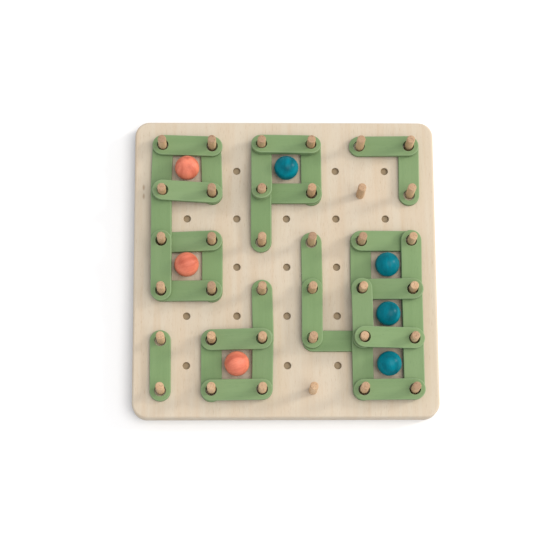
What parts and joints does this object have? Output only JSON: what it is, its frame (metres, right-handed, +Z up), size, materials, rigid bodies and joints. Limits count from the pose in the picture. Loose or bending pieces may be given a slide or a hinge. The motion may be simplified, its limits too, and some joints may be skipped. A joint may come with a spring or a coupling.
{
  "type": "dots and boxes peg board game",
  "caption": "Square wooden peg board with lift-off green links that close the sides of cells and coloured balls that mark the cells won.",
  "frame": {"origin": "middle of the board's underside", "axes": "+Z up out of the board, +X to the right and +Y to the back as a player sits at it"},
  "size_m": [0.2916, 0.2916, 0.047],
  "materials": {
    "board_wood": "sanded pale birch, unvarnished",
    "peg_wood": "plain turned birch",
    "green_stain": "matte sage green stain",
    "coral_stain": "matte coral stain",
    "teal_stain": "satin teal stain"
  },
  "bodies": {
    "board_and_pegs": {"board": "board_wood", "pegs_row_1": "peg_wood", "pegs_row_2": "peg_wood", "pegs_row_3": "peg_wood", "pegs_row_4": "peg_wood", "pegs_row_5": "peg_wood", "pegs_row_6": "peg_wood"},
    "link_down_r3_c2": {"link_down_r3_c2": "green_stain"},
    "link_across_r3_c1": {"link_across_r3_c1": "green_stain"},
    "link_across_r4_c1": {"link_across_r4_c1": "green_stain"},
    "link_down_r1_c1": {"link_down_r1_c1": "green_stain"},
    "link_down_r1_c2": {"link_down_r1_c2": "green_stain"},
    "link_down_r2_c1": {"link_down_r2_c1": "green_stain"},
    "link_down_r3_c1": {"link_down_r3_c1": "green_stain"},
    "link_across_r1_c1": {"link_across_r1_c1": "green_stain"},
    "link_across_r2_c1": {"link_across_r2_c1": "green_stain"},
    "link_down_r1_c4": {"link_down_r1_c4": "green_stain"},
    "link_across_r2_c3": {"link_across_r2_c3": "green_stain"},
    "link_down_r2_c3": {"link_down_r2_c3": "green_stain"},
    "link_down_r1_c3": {"link_down_r1_c3": "green_stain"},
    "link_across_r1_c3": {"link_across_r1_c3": "green_stain"},
    "link_down_r1_c6": {"link_down_r1_c6": "green_stain"},
    "link_across_r1_c5": {"link_across_r1_c5": "green_stain"},
    "link_down_r3_c4": {"link_down_r3_c4": "green_stain"},
    "link_across_r5_c4": {"link_across_r5_c4": "green_stain"},
    "link_down_r4_c4": {"link_down_r4_c4": "green_stain"},
    "link_down_r3_c5": {"link_down_r3_c5": "green_stain"},
    "link_across_r3_c5": {"link_across_r3_c5": "green_stain"},
    "link_down_r3_c6": {"link_down_r3_c6": "green_stain"},
    "link_down_r4_c6": {"link_down_r4_c6": "green_stain"},
    "link_down_r5_c6": {"link_down_r5_c6": "green_stain"},
    "link_across_r4_c5": {"link_across_r4_c5": "green_stain"},
    "link_down_r5_c5": {"link_down_r5_c5": "green_stain"},
    "link_down_r4_c5": {"link_down_r4_c5": "green_stain"},
    "link_across_r5_c5": {"link_across_r5_c5": "green_stain"},
    "link_across_r6_c5": {"link_across_r6_c5": "green_stain"},
    "link_down_r4_c3": {"link_down_r4_c3": "green_stain"},
    "link_down_r5_c3": {"link_down_r5_c3": "green_stain"},
    "link_down_r5_c2": {"link_down_r5_c2": "green_stain"},
    "link_across_r5_c2": {"link_across_r5_c2": "green_stain"},
    "link_across_r6_c2": {"link_across_r6_c2": "green_stain"},
    "link_down_r5_c1": {"link_down_r5_c1": "green_stain"},
    "ball_coral_r1_c1": {"ball_coral_r1_c1": "coral_stain"},
    "ball_coral_r3_c1": {"ball_coral_r3_c1": "coral_stain"},
    "ball_coral_r5_c2": {"ball_coral_r5_c2": "coral_stain"},
    "ball_teal_r1_c3": {"ball_teal_r1_c3": "teal_stain"},
    "ball_teal_r3_c5": {"ball_teal_r3_c5": "teal_stain"},
    "ball_teal_r4_c5": {"ball_teal_r4_c5": "teal_stain"},
    "ball_teal_r5_c5": {"ball_teal_r5_c5": "teal_stain"}
  },
  "joints": [
    {"name": "lift_link_across_r5_c5", "type": "slide", "parent": "link_down_r4_c5", "child": "link_across_r5_c5", "axis": [0, 0, 1], "range_m": [0, 0.023]},
    {"name": "lift_link_down_r1_c3", "type": "slide", "parent": "link_down_r2_c3", "child": "link_down_r1_c3", "axis": [0, 0, 1], "range_m": [0, 0.032]},
    {"name": "lift_link_down_r3_c1", "type": "slide", "parent": "link_down_r2_c1", "child": "link_down_r3_c1", "axis": [0, 0, 1], "range_m": [0, 0.027]},
    {"name": "lift_link_across_r2_c1", "type": "slide", "parent": "link_down_r2_c1", "child": "link_across_r2_c1", "axis": [0, 0, 1], "range_m": [0, 0.028]},
    {"name": "lift_ball_coral_r1_c1", "type": "slide", "parent": "board_and_pegs", "child": "ball_coral_r1_c1", "axis": [0, 0, 1], "range_m": [0, 0.033]},
    {"name": "lift_ball_teal_r5_c5", "type": "slide", "parent": "board_and_pegs", "child": "ball_teal_r5_c5", "axis": [0, 0, 1], "range_m": [0, 0.033]},
    {"name": "lift_link_down_r1_c1", "type": "slide", "parent": "link_across_r4_c1", "child": "link_down_r1_c1", "axis": [0, 0, 1], "range_m": [0, 0.032]},
    {"name": "lift_link_down_r5_c1", "type": "slide", "parent": "board_and_pegs", "child": "link_down_r5_c1", "axis": [0, 0, 1], "range_m": [0, 0.032]},
    {"name": "lift_link_across_r6_c5", "type": "slide", "parent": "link_down_r5_c5", "child": "link_across_r6_c5", "axis": [0, 0, 1], "range_m": [0, 0.028]},
    {"name": "lift_link_down_r4_c5", "type": "slide", "parent": "link_down_r5_c5", "child": "link_down_r4_c5", "axis": [0, 0, 1], "range_m": [0, 0.022]},
    {"name": "lift_link_across_r1_c3", "type": "slide", "parent": "link_down_r1_c3", "child": "link_across_r1_c3", "axis": [0, 0, 1], "range_m": [0, 0.028]},
    {"name": "lift_link_across_r1_c5", "type": "slide", "parent": "link_down_r1_c6", "child": "link_across_r1_c5", "axis": [0, 0, 1], "range_m": [0, 0.032]},
    {"name": "lift_link_across_r4_c5", "type": "slide", "parent": "link_down_r5_c6", "child": "link_across_r4_c5", "axis": [0, 0, 1], "range_m": [0, 0.028]},
    {"name": "lift_link_across_r5_c2", "type": "slide", "parent": "link_down_r5_c2", "child": "link_across_r5_c2", "axis": [0, 0, 1], "range_m": [0, 0.028]},
    {"name": "lift_link_down_r4_c4", "type": "slide", "parent": "link_across_r5_c4", "child": "link_down_r4_c4", "axis": [0, 0, 1], "range_m": [0, 0.028]},
    {"name": "lift_link_down_r3_c4", "type": "slide", "parent": "board_and_pegs", "child": "link_down_r3_c4", "axis": [0, 0, 1], "range_m": [0, 0.032]},
    {"name": "lift_link_down_r3_c2", "type": "slide", "parent": "board_and_pegs", "child": "link_down_r3_c2", "axis": [0, 0, 1], "range_m": [0, 0.032]},
    {"name": "lift_link_across_r6_c2", "type": "slide", "parent": "link_down_r5_c2", "child": "link_across_r6_c2", "axis": [0, 0, 1], "range_m": [0, 0.028]},
    {"name": "lift_link_down_r1_c4", "type": "slide", "parent": "board_and_pegs", "child": "link_down_r1_c4", "axis": [0, 0, 1], "range_m": [0, 0.032]},
    {"name": "lift_ball_teal_r1_c3", "type": "slide", "parent": "board_and_pegs", "child": "ball_teal_r1_c3", "axis": [0, 0, 1], "range_m": [0, 0.033]},
    {"name": "lift_ball_coral_r5_c2", "type": "slide", "parent": "board_and_pegs", "child": "ball_coral_r5_c2", "axis": [0, 0, 1], "range_m": [0, 0.033]},
    {"name": "lift_link_across_r3_c5", "type": "slide", "parent": "link_down_r3_c5", "child": "link_across_r3_c5", "axis": [0, 0, 1], "range_m": [0, 0.032]},
    {"name": "lift_link_down_r1_c6", "type": "slide", "parent": "board_and_pegs", "child": "link_down_r1_c6", "axis": [0, 0, 1], "range_m": [0, 0.032]},
    {"name": "lift_link_down_r4_c3", "type": "slide", "parent": "board_and_pegs", "child": "link_down_r4_c3", "axis": [0, 0, 1], "range_m": [0, 0.032]},
    {"name": "lift_ball_coral_r3_c1", "type": "slide", "parent": "board_and_pegs", "child": "ball_coral_r3_c1", "axis": [0, 0, 1], "range_m": [0, 0.033]},
    {"name": "lift_link_across_r3_c1", "type": "slide", "parent": "link_down_r3_c2", "child": "link_across_r3_c1", "axis": [0, 0, 1], "range_m": [0, 0.032]},
    {"name": "lift_link_across_r4_c1", "type": "slide", "parent": "link_across_r3_c1", "child": "link_across_r4_c1", "axis": [0, 0, 1], "range_m": [0, 0.032]},
    {"name": "lift_link_down_r1_c2", "type": "slide", "parent": "link_down_r1_c1", "child": "link_down_r1_c2", "axis": [0, 0, 1], "range_m": [0, 0.032]},
    {"name": "lift_link_down_r2_c1", "type": "slide", "parent": "link_down_r1_c2", "child": "link_down_r2_c1", "axis": [0, 0, 1], "range_m": [0, 0.028]},
    {"name": "lift_link_across_r1_c1", "type": "slide", "parent": "link_down_r1_c2", "child": "link_across_r1_c1", "axis": [0, 0, 1], "range_m": [0, 0.028]},
    {"name": "lift_link_across_r2_c3", "type": "slide", "parent": "link_down_r1_c4", "child": "link_across_r2_c3", "axis": [0, 0, 1], "range_m": [0, 0.032]},
    {"name": "lift_link_down_r2_c3", "type": "slide", "parent": "link_across_r2_c3", "child": "link_down_r2_c3", "axis": [0, 0, 1], "range_m": [0, 0.032]},
    {"name": "lift_link_across_r5_c4", "type": "slide", "parent": "link_down_r3_c4", "child": "link_across_r5_c4", "axis": [0, 0, 1], "range_m": [0, 0.032]},
    {"name": "lift_link_down_r3_c5", "type": "slide", "parent": "link_across_r5_c4", "child": "link_down_r3_c5", "axis": [0, 0, 1], "range_m": [0, 0.032]},
    {"name": "lift_link_down_r3_c6", "type": "slide", "parent": "link_across_r3_c5", "child": "link_down_r3_c6", "axis": [0, 0, 1], "range_m": [0, 0.032]},
    {"name": "lift_link_down_r4_c6", "type": "slide", "parent": "link_down_r3_c6", "child": "link_down_r4_c6", "axis": [0, 0, 1], "range_m": [0, 0.032]},
    {"name": "lift_link_down_r5_c6", "type": "slide", "parent": "link_down_r4_c6", "child": "link_down_r5_c6", "axis": [0, 0, 1], "range_m": [0, 0.032]},
    {"name": "lift_link_down_r5_c5", "type": "slide", "parent": "link_across_r4_c5", "child": "link_down_r5_c5", "axis": [0, 0, 1], "range_m": [0, 0.032]},
    {"name": "lift_link_down_r5_c3", "type": "slide", "parent": "link_down_r4_c3", "child": "link_down_r5_c3", "axis": [0, 0, 1], "range_m": [0, 0.032]},
    {"name": "lift_link_down_r5_c2", "type": "slide", "parent": "link_down_r5_c3", "child": "link_down_r5_c2", "axis": [0, 0, 1], "range_m": [0, 0.032]},
    {"name": "lift_ball_teal_r3_c5", "type": "slide", "parent": "board_and_pegs", "child": "ball_teal_r3_c5", "axis": [0, 0, 1], "range_m": [0, 0.033]},
    {"name": "lift_ball_teal_r4_c5", "type": "slide", "parent": "board_and_pegs", "child": "ball_teal_r4_c5", "axis": [0, 0, 1], "range_m": [0, 0.033]}
  ]
}
